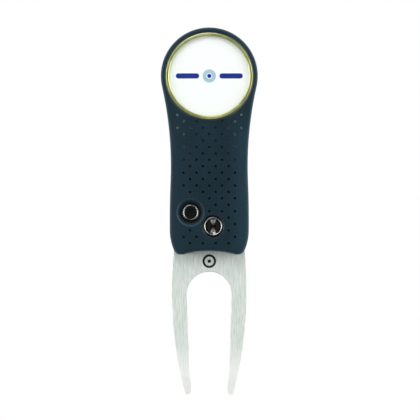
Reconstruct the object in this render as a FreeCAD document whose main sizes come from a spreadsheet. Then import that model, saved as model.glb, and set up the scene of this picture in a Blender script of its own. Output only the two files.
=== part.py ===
import FreeCAD, Part
import math
import os
import re
import Sketcher

# A pocket divot repair tool. A two-prong fork swings out of a soft-touch handle on a sprung
# pivot, a push button locks it open or closed, and a magnet in the head holds a ball marker.
#
# Frame: x to the right as seen from the front, z up from the prong tips to the head, and the
# front faces -y. The origin lies midway between the prong tips in the fork's mid-plane.
# Depths are given as levels, counted forward from that mid-plane, so the front of the tool
# is at positive levels and the back at negative ones. All sizes are in mm.

App = FreeCAD
Vector = App.Vector

SIZES = {
    # Handle outline: tangent arcs for the head, waist, belly, lower sides, corners and base.
    "head_z": 91.3,
    "head_radius": 13.9,
    "waist_z": 65.5,
    "waist_radius": 103.0,
    "belly_z": 50.0,
    "belly_radius": 261.0,
    "lower_z": 47.0,
    "lower_radius": 14.0,
    "corner_z": 42.4,
    "corner_radius": 2.3,
    "base_centre_z": 11.6,
    # Layers through the thickness.
    "fork_level": 1.0,
    "slot_level": 1.4,
    "front_plate_level": 3.6,
    "front_level": 5.6,
    "rear_plate_level": 4.6,
    "rear_level": 5.6,
    # Clearances: seated parts, and parts that turn or slide.
    "film_gap": 0.01,
    "seat_gap": 0.02,
    "run_gap": 0.05,
    # Small edges of turned parts, and the flat in the middle of their domes and dishes.
    "edge_break": 0.15,
    "rim_width": 0.38,
    "rim_curve": 0.21,
    "centre_flat": 0.3,
    # Rubber grips.
    "skin": 1.1,
    "grip_round": 1.0,
    "rim_round": 0.15,
    "dimple_pitch": 1.84,
    "dimple_radius": 0.34,
    "dimple_depth": 0.5,
    "dimple_top_z": 80.13,
    # Spacer that joins the two frame plates along the closed side of the slot.
    "spine_inset": 0.35,
    "spine_foot_z": 51.6,
    "swing_gap": 0.4,
    "swing_radius": 49.4,
    # Fork.
    "fork_half_width": 10.74,
    "flank_z": 30.0,
    "flank_radius": 116.0,
    "shoulder_x": 10.2,
    "shoulder_rise": 3.0,
    "heel_drop": 5.2,
    "opening_z": 28.8,
    "opening_radius": 6.4,
    "tip_start_z": 5.2,
    "tip_start_x": 5.52,
    "tip_inner_x": 5.13,
    "tip_inner_z": 1.5,
    "tip_heel_x": 5.55,
    "tip_toe_x": 6.65,
    "tip_outer_z": 1.3,
    "tip_level": 0.45,
    "tip_round": 0.35,
    "fork_chamfer": 0.15,
    "hub_radius": 6.2,
    # Pivot bolt, its rear screw and the two washers.
    "pivot_x": 1.09,
    "pivot_z": 48.2,
    "pivot_radius": 2.0,
    "pivot_head_radius": 2.7,
    "pivot_head_level": 5.35,
    "pivot_dish_level": 4.85,
    "pivot_dish_curve": 7.4,
    "pivot_window_radius": 3.25,
    "pivot_end_level": 4.4,
    "pivot_thread_radius": 0.8,
    "pivot_thread_start": 0.4,
    "pivot_screw_radius": 2.6,
    "screw_face_level": 5.4,
    "driver_slot": 0.55,
    "driver_depth": 0.45,
    "washer_radius": 3.0,
    # Stop pin in the fork and its half-turn track in the front plate.
    "stop_radius": 4.6,
    "stop_pin_radius": 0.55,
    "stop_pin_level": 2.2,
    "stop_track_level": 2.4,
    "stop_track_half": 0.65,
    # Torsion spring round the pivot.
    "coil_radius": 3.55,
    "coil_wire": 0.35,
    "coil_pitch": 0.85,
    "coil_rear_level": 3.45,
    "coil_pocket_radius": 4.6,
    "coil_pocket_level": 3.9,
    "coil_leg_end": 6.0,
    "coil_leg_slot": 6.4,
    "coil_leg_hole": 0.45,
    # Lock button: a stepped plunger whose collar fills a notch in the fork's hub.
    "button_x": -5.36,
    "button_z": 52.15,
    "plunger_radius": 2.25,
    "plunger_level": 4.75,
    "flange_radius": 2.55,
    "flange_level": 1.6,
    "flange_stop_level": 2.92,
    "stem_level": 1.2,
    "stem_radius": 1.2,
    "collar_radius": 2.3,
    "collar_level": 1.15,
    "collar_end_level": 3.2,
    "cup_radius": 1.55,
    "cup_level": 1.7,
    "notch_radius": 2.4,
    "plunger_pocket_level": 4.3,
    "pad_seat_level": 4.2,
    "pad_middle_level": 4.5,
    "pad_curve": 14.3,
    "bezel_radius": 3.05,
    "dish_floor_level": 4.75,
    "dish_bowl": 0.9,
    "dish_radius": 4.2,
    # Button spring.
    "button_coil_radius": 1.2,
    "button_coil_wire": 0.16,
    "button_coil_height": 2.2,
    "button_coil_pitch": 0.55,
    # Ball marker and its magnet.
    "marker_recess_radius": 12.65,
    "marker_radius": 12.5,
    "marker_back_level": 3.65,
    "marker_face_level": 5.75,
    "marker_round": 0.3,
    "marker_rim_radius": 11.75,
    "marker_well_radius": 11.55,
    "marker_well_level": 4.35,
    "insert_level": 4.66,
    "dome_radius": 11.5,
    "dome_apex_level": 6.0,
    "dome_sphere_radius": 102.0,
    "magnet_radius": 5.0,
    "magnet_pocket_level": 2.1,
    "magnet_level": 3.55,
    # Frame screws.
    "screw_radius": 0.8,
    "screw_head_radius": 1.45,
    "screw_window_radius": 1.6,
    "screw_end_level": 2.9,
    "screw_hole_level": 3.1,
    "screw_socket": 0.75,
    "screw_high_x": 4.9,
    "screw_high_z": 99.74,
    "screw_low_x": 9.5,
    "screw_low_z": 81.0,
}

# Screw positions: both sides of the head, and low on the spine.
SCREW_SPOTS = [
    ("0 - screw_high_x", "screw_high_z"),
    ("screw_high_x", "screw_high_z"),
    ("0 - screw_low_x", "screw_low_z"),
]

DIMPLE_ROWS = 21
DIMPLE_SIDE_COLUMNS = 5
DIMPLE_EDGE_MARGIN = 2.35
DIMPLE_MARKER_CLEARANCE = 13.5
DIMPLE_BUTTON_CLEARANCE = 4.9
DIMPLE_PIVOT_CLEARANCE = 4.2
DIMPLE_SCREW_CLEARANCE = 2.4

# Lengths closer together than this count as equal when edges are picked.
TOLERANCE = 1e-3


# ---------------------------------------------------------------- sizes and formulas

document = App.newDocument("divot_tool")
sheet = document.addObject("Spreadsheet::Sheet", "Sizes")
for row, (alias, size) in enumerate(SIZES.items(), start=1):
    sheet.set(f"A{row}", alias.replace("_", " "))
    sheet.set(f"B{row}", str(size))
    sheet.setAlias(f"B{row}", alias)
document.recompute()


def value(formula):
    """Number for a formula: numbers and sizes, times one another, joined by + and -."""
    if not isinstance(formula, str):
        return formula
    total = 0.0
    sign = 1.0
    for term in formula.split():
        if term in ("+", "-"):
            sign = 1.0 if term == "+" else -1.0
            continue
        product = sign
        for factor in term.split("*"):
            product *= SIZES[factor] if factor in SIZES else float(factor)
        total += product
    return total


def linked(formula):
    """The same formula as an expression that reads the spreadsheet."""
    return re.sub(r"[a-z][a-z_]*", lambda name: "Sizes." + name.group(), formula)


def taken_off(formula):
    """The tail that takes a formula off another one: "a - b" becomes " - a + b"."""
    return " - " + formula.translate(str.maketrans("+-", "-+"))


def opposite(formula):
    """A formula, or a plain number, with its sign turned round."""
    if not isinstance(formula, str):
        return -formula
    return formula if formula == "0" else "0" + taken_off(formula)


def mirrored(points):
    """Points reflected in the centreline, in reverse order, so that an outline closes."""
    return [(opposite(x), z) for x, z in reversed(points)]


# ---------------------------------------------------------------- sketches

def new_body(label):
    body = document.addObject("PartDesign::Body", label)
    body.Label = label
    return body


def place(body, x, z, spin=0):
    """Puts a body made round its own z axis at (x, z), with that axis pointing forward."""
    forward = App.Rotation(Vector(1, 0, 0), 90)
    turn = App.Rotation(Vector(0, 0, 1), spin)
    body.Placement = App.Placement(Vector(value(x), 0, value(z)), forward.multiply(turn))
    body.setExpression("Placement.Base.x", linked(x))
    body.setExpression("Placement.Base.z", linked(z))


def new_sketch(body, name, plane="XZ_Plane", offset="0"):
    """Sketch on one of the body's own planes. On XZ_Plane the offset is a level."""
    sketch = body.newObject("Sketcher::SketchObject", name)
    support = next(item for item in body.Origin.OriginFeatures if item.Role == plane)
    sketch.AttachmentSupport = [(support, "")]
    sketch.MapMode = "FlatFace"
    sketch.AttachmentOffset = App.Placement(Vector(0, 0, value(offset)), App.Rotation())
    if offset != "0":
        sketch.setExpression("AttachmentOffset.Base.z", linked(offset))
    return sketch


def drive(sketch, constraint, formula):
    index = sketch.addConstraint(constraint)
    sketch.setExpression(f"Constraints[{index}]", linked(formula))


def pin(sketch, geometry, point, x, y):
    """Fixes a point to its formulas. A coordinate given as a number is left to the solver."""
    for kind, axis, formula in (("DistanceX", -2, x), ("DistanceY", -1, y)):
        if formula == "0":
            sketch.addConstraint(Sketcher.Constraint("PointOnObject", geometry, point, axis))
        elif isinstance(formula, str):
            distance = Sketcher.Constraint(kind, -1, 1, geometry, point, value(formula))
            drive(sketch, distance, formula)


def add_circle(sketch, x, y, radius):
    centre = Vector(value(x), value(y), 0)
    circle = sketch.addGeometry(Part.Circle(centre, Vector(0, 0, 1), value(radius)))
    pin(sketch, circle, 3, x, y)
    drive(sketch, Sketcher.Constraint("Radius", circle, value(radius)), radius)
    return circle


def add_arc(sketch, start, finish, x, y, radius, turn):
    """Arc round (x, y). Returns its index and which of its ends comes first."""
    centre = Vector(value(x), value(y), 0)
    first, last = (start, finish) if turn == "left" else (finish, start)
    low = math.atan2(first.y - centre.y, first.x - centre.x)
    high = math.atan2(last.y - centre.y, last.x - centre.x)
    if high < low:
        high += 2 * math.pi
    circle = Part.Circle(centre, Vector(0, 0, 1), value(radius))
    arc = sketch.addGeometry(Part.ArcOfCircle(circle, low, high))
    pin(sketch, arc, 3, x, y)
    if isinstance(radius, str):
        drive(sketch, Sketcher.Constraint("Radius", arc, value(radius)), radius)
    return (arc, 1, 2) if turn == "left" else (arc, 2, 1)


def add_outline(sketch, points, arcs=None, smooth=()):
    """Closed chain through the points. Segment i leaves point i. Arcs are listed by segment as
    (centre x, centre y, radius, "left" or "right" turn), and smooth lists tangent points."""
    corners = [Vector(value(x), value(y), 0) for x, y in points]
    pieces = []
    for index, start in enumerate(corners):
        finish = corners[(index + 1) % len(corners)]
        if arcs and index in arcs:
            pieces.append(add_arc(sketch, start, finish, *arcs[index]))
        else:
            pieces.append((sketch.addGeometry(Part.LineSegment(start, finish)), 1, 2))
    for index, (piece, begin, _) in enumerate(pieces):
        before, _, end = pieces[index - 1]
        join = "Tangent" if index in smooth else "Coincident"
        sketch.addConstraint(Sketcher.Constraint(join, before, end, piece, begin))
        pin(sketch, piece, begin, *points[index])


# ---------------------------------------------------------------- features

def extrude(kind, body, sketch, name, length, forward):
    feature = body.newObject("PartDesign::" + kind, name)
    feature.Profile = sketch
    feature.Length = value(length)
    feature.setExpression("Length", linked(length))
    feature.Reversed = forward if kind == "Pocket" else not forward
    sketch.Visibility = False
    document.recompute()
    return feature


def pad(body, sketch, name, length, forward=True):
    return extrude("Pad", body, sketch, name, length, forward)


def pocket(body, sketch, name, depth, forward=False):
    """Cuts a pocket and makes sure that it took material away."""
    before = body.Shape.Volume
    feature = extrude("Pocket", body, sketch, name, depth, forward)
    if body.Shape.Volume > before - TOLERANCE:
        raise RuntimeError(f"{body.Label}: {name} cuts nothing")
    return feature


def revolve(kind, body, sketch, name, axis="V_Axis"):
    feature = body.newObject("PartDesign::" + kind, name)
    feature.Profile = sketch
    feature.ReferenceAxis = (sketch, [axis])
    feature.Angle = 360
    sketch.Visibility = False
    document.recompute()
    return feature


def dress(kind, body, name, edges, size):
    """Rounds or chamfers the edges of the body's last feature."""
    feature = body.newObject("PartDesign::" + kind, name)
    feature.Base = (feature.BaseFeature or body.Tip, edges)
    field = "Radius" if kind == "Fillet" else "Size"
    setattr(feature, field, value(size))
    feature.setExpression(field, linked(size))
    document.recompute()
    return feature


def edges_where(body, test):
    """Names of the edges of the body's last feature whose bounding boxes pass the test."""
    edges = body.Tip.Shape.Edges
    return [f"Edge{i}" for i, edge in enumerate(edges, start=1) if test(edge.BoundBox)]


def edges_on_level(body, level, also=lambda box: True):
    """Names of the edges that lie wholly on a level, and pass one more test."""
    y = -value(level)
    return edges_where(
        body, lambda box: max(abs(box.YMin - y), abs(box.YMax - y)) < TOLERANCE and also(box)
    )


def turned(label, x, z, points, arcs=None):
    """Part turned round its own axis. Each point is (radius, level)."""
    body = new_body(label)
    sketch = new_sketch(body, label + "_profile")
    add_outline(sketch, points, arcs)
    revolve("Revolution", body, sketch, label + "_turning")
    place(body, x, z)
    return body


def drill(body, name, spots, radius, level, depth, forward=False):
    """Round holes of one size, from a level, backward or forward."""
    sketch = new_sketch(body, name + "_sketch", offset=level)
    for x, z in spots:
        add_circle(sketch, x, z, radius)
    return pocket(body, sketch, name, depth, forward)


# ---------------------------------------------------------------- handle outline

def tangent_centre_x(near, near_z, reach, far_z):
    """x of a centre at height far_z that lies at distance reach from the centre (near, near_z)."""
    return near + math.sqrt(reach ** 2 - (near_z - far_z) ** 2)


HEAD_CENTRE = Vector(0, value("head_z"), 0)
WAIST_CENTRE = Vector(
    tangent_centre_x(0, value("head_z"), value("head_radius + waist_radius"), value("waist_z")),
    value("waist_z"),
    0,
)
BELLY_CENTRE = Vector(
    -tangent_centre_x(
        -WAIST_CENTRE.x, value("waist_z"), value("waist_radius + belly_radius"), value("belly_z")
    ),
    value("belly_z"),
    0,
)
LOWER_CENTRE = Vector(
    tangent_centre_x(
        BELLY_CENTRE.x, value("belly_z"), value("belly_radius - lower_radius"), value("lower_z")
    ),
    value("lower_z"),
    0,
)
CORNER_CENTRE = Vector(
    tangent_centre_x(
        LOWER_CENTRE.x, value("lower_z"), value("lower_radius - corner_radius"), value("corner_z")
    ),
    value("corner_z"),
    0,
)
BASE_CENTRE = Vector(0, value("base_centre_z"), 0)
BASE_RADIUS = (CORNER_CENTRE - BASE_CENTRE).Length - value("corner_radius")


def toward(start, end, distance):
    direction = end - start
    return start + direction * (distance / direction.Length)


def circles_meet(centre_a, radius_a, centre_b, radius_b):
    """The crossing of two circles that has the larger x."""
    line = centre_b - centre_a
    along = (radius_a ** 2 - radius_b ** 2 + line.Length ** 2) / (2 * line.Length)
    across = math.sqrt(radius_a ** 2 - along ** 2)
    middle = toward(centre_a, centre_b, along)
    side = Vector(-line.y, line.x, 0) * (across / line.Length)
    return max(middle + side, middle - side, key=lambda point: point.x)


def add_handle_outline(sketch, inset="0"):
    """The handle's outline, or a line at an even distance inside it."""
    depth = value(inset)
    less = taken_off(inset)
    more = " + " + inset
    right = [
        toward(HEAD_CENTRE, WAIST_CENTRE, value("head_radius") - depth),
        toward(BELLY_CENTRE, WAIST_CENTRE, value("belly_radius") - depth),
        toward(BELLY_CENTRE, LOWER_CENTRE, value("belly_radius") - depth),
        toward(LOWER_CENTRE, CORNER_CENTRE, value("lower_radius") - depth),
        toward(BASE_CENTRE, CORNER_CENTRE, BASE_RADIUS + depth),
    ]
    points = [(point.x, point.y) for point in right]
    side_arcs = [
        (WAIST_CENTRE.x, "waist_z", "waist_radius" + more, "left"),
        (BELLY_CENTRE.x, "belly_z", "belly_radius" + less, "right"),
        (LOWER_CENTRE.x, "lower_z", "lower_radius" + less, "right"),
        (CORNER_CENTRE.x, "corner_z", "corner_radius" + less, "right"),
    ]
    arcs = {}
    for index, (x, z, radius, turn) in enumerate(side_arcs):
        arcs[index] = (x, z, radius, turn)
        arcs[8 - index] = (-x, z, radius, turn)
    arcs[4] = (0, "base_centre_z", BASE_RADIUS + depth, "left")
    arcs[9] = ("0", "head_z", "head_radius" + less, "right")
    add_outline(sketch, points + mirrored(points), arcs, smooth=range(10))


def handle_half_width(z):
    """Half the handle's width at a height above its lower corners."""
    straight_to_head = HEAD_CENTRE.y - value("head_radius") * (
        (HEAD_CENTRE.y - WAIST_CENTRE.y) / value("head_radius + waist_radius")
    )
    if z > straight_to_head:
        return math.sqrt(value("head_radius") ** 2 - (z - HEAD_CENTRE.y) ** 2)
    waist_to_belly = toward(BELLY_CENTRE, WAIST_CENTRE, value("belly_radius")).y
    if z > waist_to_belly:
        rise = z - WAIST_CENTRE.y
        return WAIST_CENTRE.x - math.sqrt(value("waist_radius") ** 2 - rise ** 2)
    belly_to_lower = toward(BELLY_CENTRE, LOWER_CENTRE, value("belly_radius")).y
    centre, radius = BELLY_CENTRE, value("belly_radius")
    if z < belly_to_lower:
        centre, radius = LOWER_CENTRE, value("lower_radius")
    return centre.x + math.sqrt(radius ** 2 - (z - centre.y) ** 2)


def dimple_spots(keep_clear):
    """A staggered grid over the handle, without the dimples too near its edge or a fitting."""
    spots = []
    for row in range(DIMPLE_ROWS):
        z = value("dimple_top_z") - row * value("dimple_pitch")
        for column in range(-DIMPLE_SIDE_COLUMNS, DIMPLE_SIDE_COLUMNS + 1):
            x = column * value("dimple_pitch")
            staggered = (row + column) % 2 == 1
            inside = abs(x) + DIMPLE_EDGE_MARGIN < handle_half_width(z)
            clear = all(
                math.hypot(x - value(spot_x), z - value(spot_z)) > distance
                for spot_x, spot_z, distance in keep_clear
            )
            if staggered and inside and clear:
                spots.append((f"{column}*dimple_pitch", f"dimple_top_z - {row}*dimple_pitch"))
    return spots


def cut_dimples(body, level, keep_clear, forward):
    """Blind dimples. The circles share one driven radius."""
    sketch = new_sketch(body, "dimple_grid", offset=level)
    first = None
    for x, z in dimple_spots(keep_clear):
        centre = Vector(value(x), value(z), 0)
        radius = value("dimple_radius")
        circle = sketch.addGeometry(Part.Circle(centre, Vector(0, 0, 1), radius))
        pin(sketch, circle, 3, x, z)
        if first is None:
            first = circle
            drive(sketch, Sketcher.Constraint("Radius", circle, radius), "dimple_radius")
        else:
            sketch.addConstraint(Sketcher.Constraint("Equal", first, circle))
    pocket(body, sketch, "dimples", "dimple_depth", forward)


PIVOT = ("pivot_x", "pivot_z")
BUTTON = ("button_x", "button_z")
HEAD = ("0", "head_z")


# ---------------------------------------------------------------- grips

def make_grip(label, outer_level, depth, sign):
    """Rubber half-shell: a rounded slab with a seat for its frame plate. The front one has
    sign 1 and lies at positive levels, and the rear one has sign -1."""
    front = sign > 0
    body = new_body(label)
    slot = "slot_level" if front else "0 - slot_level"
    sketch = new_sketch(body, "outline", offset=slot)
    add_handle_outline(sketch)
    pad(body, sketch, "slab", outer_level + " - slot_level", forward=front)
    outer = outer_level if front else "0 - " + outer_level
    dress("Fillet", body, "outer_round", edges_on_level(body, outer), "grip_round")
    sketch = new_sketch(body, "plate_outline", offset=slot)
    add_handle_outline(sketch, "skin - seat_gap")
    pocket(body, sketch, "plate_seat", depth + " - slot_level", forward=front)
    return body


front_grip = make_grip("front_grip", "front_level", "front_plate_level", 1)
drill(
    front_grip, "marker_recess", [HEAD], "marker_recess_radius",
    "front_level", "front_level - front_plate_level",
)
drill(
    front_grip, "pivot_window", [PIVOT], "pivot_window_radius",
    "front_level", "front_level - front_plate_level",
)
drill(
    front_grip, "bezel_hole", [BUTTON], "bezel_radius + seat_gap",
    "front_level", "front_level - front_plate_level",
)

# The finger dish round the button: a bowl-shaped groove turned about the button's axis.
dish = new_sketch(front_grip, "dish_profile", plane="XY_Plane", offset="button_z")
axis_line = Part.LineSegment(
    Vector(value("button_x"), 0, 0), Vector(value("button_x"), -value("front_level"), 0)
)
axis_index = dish.addGeometry(axis_line, True)
pin(dish, axis_index, 1, "button_x", "0")
pin(dish, axis_index, 2, "button_x", "0 - front_level")
add_outline(
    dish,
    [
        ("button_x", "0 - dish_floor_level"),
        ("button_x + bezel_radius", -value("dish_floor_level")),
        (value("button_x + bezel_radius + dish_bowl"), "0 - front_level"),
        ("button_x + dish_radius", "0 - front_level - 1"),
        ("button_x", "0 - front_level - 1"),
    ],
    {1: ("button_x + bezel_radius", "0 - dish_floor_level - dish_bowl", "dish_bowl", "right")},
)
revolve("Groove", front_grip, dish, "finger_dish", "Axis0")
dress(
    "Fillet", front_grip, "rim_rounds",
    edges_on_level(
        front_grip, "front_level", lambda box: abs(box.XLength - box.ZLength) < TOLERANCE
    ),
    "rim_round",
)
cut_dimples(
    front_grip,
    "front_level",
    [
        ("0", "head_z", DIMPLE_MARKER_CLEARANCE),
        (*BUTTON, DIMPLE_BUTTON_CLEARANCE),
        (*PIVOT, DIMPLE_PIVOT_CLEARANCE),
    ],
    forward=False,
)

rear_grip = make_grip("rear_grip", "rear_level", "rear_plate_level", -1)
drill(
    rear_grip, "pivot_window", [PIVOT], "pivot_window_radius",
    "0 - rear_plate_level", "rear_level - rear_plate_level",
)
drill(
    rear_grip, "screw_windows", SCREW_SPOTS, "screw_window_radius",
    "0 - rear_plate_level", "rear_level - rear_plate_level",
)
cut_dimples(
    rear_grip,
    "0 - rear_level",
    [(*PIVOT, DIMPLE_PIVOT_CLEARANCE)]
    + [(x, z, DIMPLE_SCREW_CLEARANCE) for x, z in SCREW_SPOTS],
    forward=True,
)


# ---------------------------------------------------------------- frame plates and spacer

front_frame = new_body("front_frame")
plate = new_sketch(front_frame, "outline", offset="slot_level")
add_handle_outline(plate, "skin")
pad(front_frame, plate, "plate", "front_plate_level - slot_level")
drill(
    front_frame, "magnet_pocket", [HEAD], "magnet_radius + seat_gap",
    "front_plate_level", "front_plate_level - magnet_pocket_level",
)
drill(
    front_frame, "pivot_hole", [PIVOT], "pivot_radius + seat_gap",
    "front_plate_level", "front_plate_level - slot_level",
)
drill(
    front_frame, "plunger_hole", [BUTTON], "plunger_radius + run_gap",
    "front_plate_level", "front_plate_level - slot_level",
)
drill(
    front_frame, "flange_counterbore", [BUTTON], "flange_radius + run_gap",
    "slot_level", "flange_stop_level - slot_level", forward=True,
)
drill(
    front_frame, "screw_holes", SCREW_SPOTS, "screw_radius + seat_gap",
    "slot_level", "screw_hole_level - slot_level", forward=True,
)
track = new_sketch(front_frame, "stop_track_sketch", offset="slot_level")
track_end_low = value("pivot_z - stop_radius")
track_end_high = value("pivot_z + stop_radius")
track_half = value("stop_track_half")
add_outline(
    track,
    [
        ("pivot_x", track_end_low - track_half),
        ("pivot_x", track_end_high + track_half),
        ("pivot_x", track_end_high - track_half),
        ("pivot_x", track_end_low + track_half),
    ],
    {
        0: ("pivot_x", "pivot_z", "stop_radius + stop_track_half", "left"),
        1: ("pivot_x", track_end_high, track_half, "left"),
        2: ("pivot_x", "pivot_z", "stop_radius - stop_track_half", "right"),
        3: ("pivot_x", track_end_low, track_half, "left"),
    },
)
pocket(front_frame, track, "stop_track", "stop_track_level - slot_level", forward=True)

rear_frame = new_body("rear_frame")
plate = new_sketch(rear_frame, "outline", offset="0 - slot_level")
add_handle_outline(plate, "skin")
pad(rear_frame, plate, "plate", "rear_plate_level - slot_level", forward=False)
coil_ring = new_sketch(rear_frame, "coil_pocket_sketch", offset="0 - slot_level")
add_circle(coil_ring, *PIVOT, "coil_pocket_radius")
add_circle(coil_ring, *PIVOT, "washer_radius")
pocket(rear_frame, coil_ring, "coil_pocket", "coil_pocket_level - slot_level")
leg_slot = new_sketch(rear_frame, "leg_slot_sketch", offset="0 - slot_level")
add_outline(
    leg_slot,
    [
        ("pivot_x - coil_leg_slot", "pivot_z - coil_leg_hole"),
        ("pivot_x - coil_radius", "pivot_z - coil_leg_hole"),
        ("pivot_x - coil_radius", "pivot_z + coil_leg_hole"),
        ("pivot_x - coil_leg_slot", "pivot_z + coil_leg_hole"),
    ],
)
pocket(rear_frame, leg_slot, "leg_slot", "coil_pocket_level - slot_level")
drill(
    rear_frame, "pivot_hole", [PIVOT], "pivot_radius + seat_gap",
    "0 - slot_level", "rear_plate_level - slot_level",
)
drill(
    rear_frame, "plunger_pocket", [BUTTON], "collar_radius + run_gap",
    "0 - slot_level", "plunger_pocket_level - slot_level",
)
drill(
    rear_frame, "screw_holes", SCREW_SPOTS, "screw_radius + run_gap",
    "0 - slot_level", "rear_plate_level - slot_level",
)

spine_spacer = new_body("spine_spacer")
blank = new_sketch(spine_spacer, "outline", offset="0 - slot_level")
add_handle_outline(blank, "spine_inset")
pad(spine_spacer, blank, "blank", "2*slot_level")
# What is left after cutting away the room the fork needs: a strip beside the closed fork, and
# a crescent over its tips.
swing = new_sketch(spine_spacer, "swing_room_sketch", offset="slot_level")
closed_edge_x = "2*pivot_x + flank_radius - fork_half_width"
closed_edge_z = "2*pivot_z - flank_z"
closed_edge_radius = value("flank_radius + swing_gap")
foot_drop = value(closed_edge_z + " - spine_foot_z")
foot_x = value(closed_edge_x) - math.sqrt(closed_edge_radius ** 2 - foot_drop ** 2)
tip_turn = circles_meet(
    Vector(-value("pivot_x"), value("pivot_z"), 0), value("swing_radius"),
    Vector(-value(closed_edge_x), value(closed_edge_z), 0), closed_edge_radius,
)
exit_x = value("head_radius")
exit_z = value("pivot_z") + math.sqrt(value("swing_radius") ** 2 - exit_x ** 2)
add_outline(
    swing,
    [
        (-tip_turn.x, tip_turn.y),
        ("head_radius", exit_z),
        ("2*head_radius", "flank_z"),
        ("0 - 2*head_radius", "flank_z"),
        ("0 - 2*head_radius", "spine_foot_z"),
        (foot_x, "spine_foot_z"),
    ],
    {
        0: ("pivot_x", "pivot_z", "swing_radius", "right"),
        5: (closed_edge_x, closed_edge_z, "flank_radius + swing_gap", "right"),
    },
)
pocket(spine_spacer, swing, "swing_room", "2*slot_level")
drill(
    spine_spacer, "screw_holes", SCREW_SPOTS, "screw_radius + run_gap",
    "slot_level", "2*slot_level",
)


# ---------------------------------------------------------------- fork

fork = new_body("fork")
blade = new_sketch(fork, "blade_outline", offset="0 - fork_level")
flank_x = "fork_half_width - flank_radius"
flank_reach = value("shoulder_x" + taken_off(flank_x))
flank_rise = math.sqrt(value("flank_radius") ** 2 - flank_reach ** 2)
right_prong = [
    ("shoulder_x", value("flank_z") + flank_rise),
    (value("tip_toe_x"), "tip_outer_z"),
    ("tip_toe_x", "0"),
    ("tip_heel_x", "0"),
    ("tip_inner_x", "tip_inner_z"),
    ("tip_start_x", "tip_start_z"),
    (value("opening_radius"), value("opening_z")),
]
base = [
    ("0 - shoulder_x", "pivot_z + shoulder_rise"),
    ("pivot_x", "pivot_z + shoulder_rise"),
    ("pivot_x", "pivot_z - heel_drop"),
    ("shoulder_x", "pivot_z - heel_drop"),
]
add_outline(
    blade,
    base + right_prong + mirrored(right_prong),
    {
        4: (flank_x, "flank_z", "flank_radius", "right"),
        10: ("0", "opening_z", "opening_radius", "left"),
        16: (opposite(flank_x), "flank_z", "flank_radius", "right"),
    },
    smooth=(10, 11),
)
pad(fork, blade, "blade", "2*fork_level")
prong_edges = [
    edge
    for level in ("fork_level", "0 - fork_level")
    for edge in edges_on_level(fork, level, lambda box: box.ZMax < value("belly_z"))
]
dress("Chamfer", fork, "edge_break", prong_edges, "fork_chamfer")
hub = new_sketch(fork, "hub_outline", offset="0 - fork_level")
add_circle(hub, *PIVOT, "hub_radius")
pad(fork, hub, "hub", "2*fork_level")
# The collar drops into one notch with the fork open and into the opposite one with it closed.
drill(
    fork, "lock_notches",
    [BUTTON, ("2*pivot_x - button_x", "2*pivot_z - button_z")],
    "notch_radius", "fork_level", "2*fork_level",
)
drill(fork, "pivot_bore", [PIVOT], "pivot_radius + run_gap", "fork_level", "2*fork_level")
drill(
    fork, "stop_pin_hole", [("pivot_x", "pivot_z - stop_radius")],
    "stop_pin_radius + seat_gap", "fork_level", "2*fork_level",
)
# The torsion spring's leg stands in one hole with the fork open. The hub is symmetrical, and the
# opposite hole takes that place with the fork closed.
drill(
    fork, "spring_leg_holes",
    [("pivot_x - coil_radius", "pivot_z"), ("pivot_x + coil_radius", "pivot_z")],
    "coil_leg_hole", "fork_level", "2*fork_level",
)
# Both faces of the prongs thin towards the tips, so that they enter the turf easily.
bevel = new_sketch(fork, "tip_bevel_sketch", plane="YZ_Plane")
for flip in (str, opposite):
    add_outline(
        bevel,
        [
            (flip("fork_level"), "tip_start_z"),
            (flip("tip_level"), "0"),
            (flip("tip_level"), "0 - 1"),
            (flip("fork_level + 1"), "0 - 1"),
            (flip("fork_level + 1"), "tip_start_z"),
        ],
    )
tip_bevel = fork.newObject("PartDesign::Pocket", "tip_bevel")
tip_bevel.Profile = bevel
tip_bevel.SideType = "Symmetric"
tip_bevel.Length = value("4*shoulder_x")
tip_bevel.setExpression("Length", linked("4*shoulder_x"))
document.recompute()
tip_corners = edges_where(
    fork,
    lambda box: box.ZMax < value("tip_inner_z") + TOLERANCE
    and box.XLength < TOLERANCE
    and box.YLength > value("tip_level"),
)
dress("Fillet", fork, "tip_rounds", tip_corners, "tip_round")


# ---------------------------------------------------------------- pivot, washers and stop pin

# The pivot head and the button share a half-round rim. It stands proud of what lies inside it.
RIM_DROP = value("rim_curve") - math.sqrt(
    value("rim_curve") ** 2 - value("0.5*rim_width") ** 2
)
dish_reach = value("pivot_head_radius - rim_width")
dish_rise = value("pivot_dish_curve") - math.sqrt(
    value("pivot_dish_curve") ** 2 - dish_reach ** 2
)
pivot_bolt = turned(
    "pivot_bolt", *PIVOT,
    [
        ("0", "pivot_dish_level"),
        ("centre_flat", "pivot_dish_level"),
        ("pivot_head_radius - rim_width", value("pivot_dish_level") + dish_rise),
        ("pivot_head_radius - rim_width", value("pivot_head_level") - RIM_DROP),
        ("pivot_head_radius", value("pivot_head_level") - RIM_DROP),
        ("pivot_head_radius", "front_plate_level"),
        ("pivot_radius", "front_plate_level"),
        ("pivot_radius", "0 - pivot_end_level"),
        ("pivot_thread_radius + seat_gap", "0 - pivot_end_level"),
        ("pivot_thread_radius + seat_gap", "pivot_thread_start"),
        ("0", "pivot_thread_start"),
    ],
    {
        1: ("0", "pivot_dish_level + pivot_dish_curve", value("pivot_dish_curve"), "left"),
        3: (
            "pivot_head_radius - 0.5*rim_width", "pivot_head_level - rim_curve",
            "rim_curve", "right",
        ),
    },
)
pivot_screw = turned(
    "pivot_screw", *PIVOT,
    [
        ("0", "0 - screw_face_level"),
        ("pivot_screw_radius - edge_break", "0 - screw_face_level"),
        ("pivot_screw_radius", "edge_break - screw_face_level"),
        ("pivot_screw_radius", "0 - rear_plate_level"),
        ("pivot_thread_radius", "0 - rear_plate_level"),
        ("pivot_thread_radius", "0"),
        ("0", "0"),
    ],
)
slot = new_sketch(pivot_screw, "driver_slot_sketch", plane="XY_Plane", offset="0 - screw_face_level")
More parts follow.
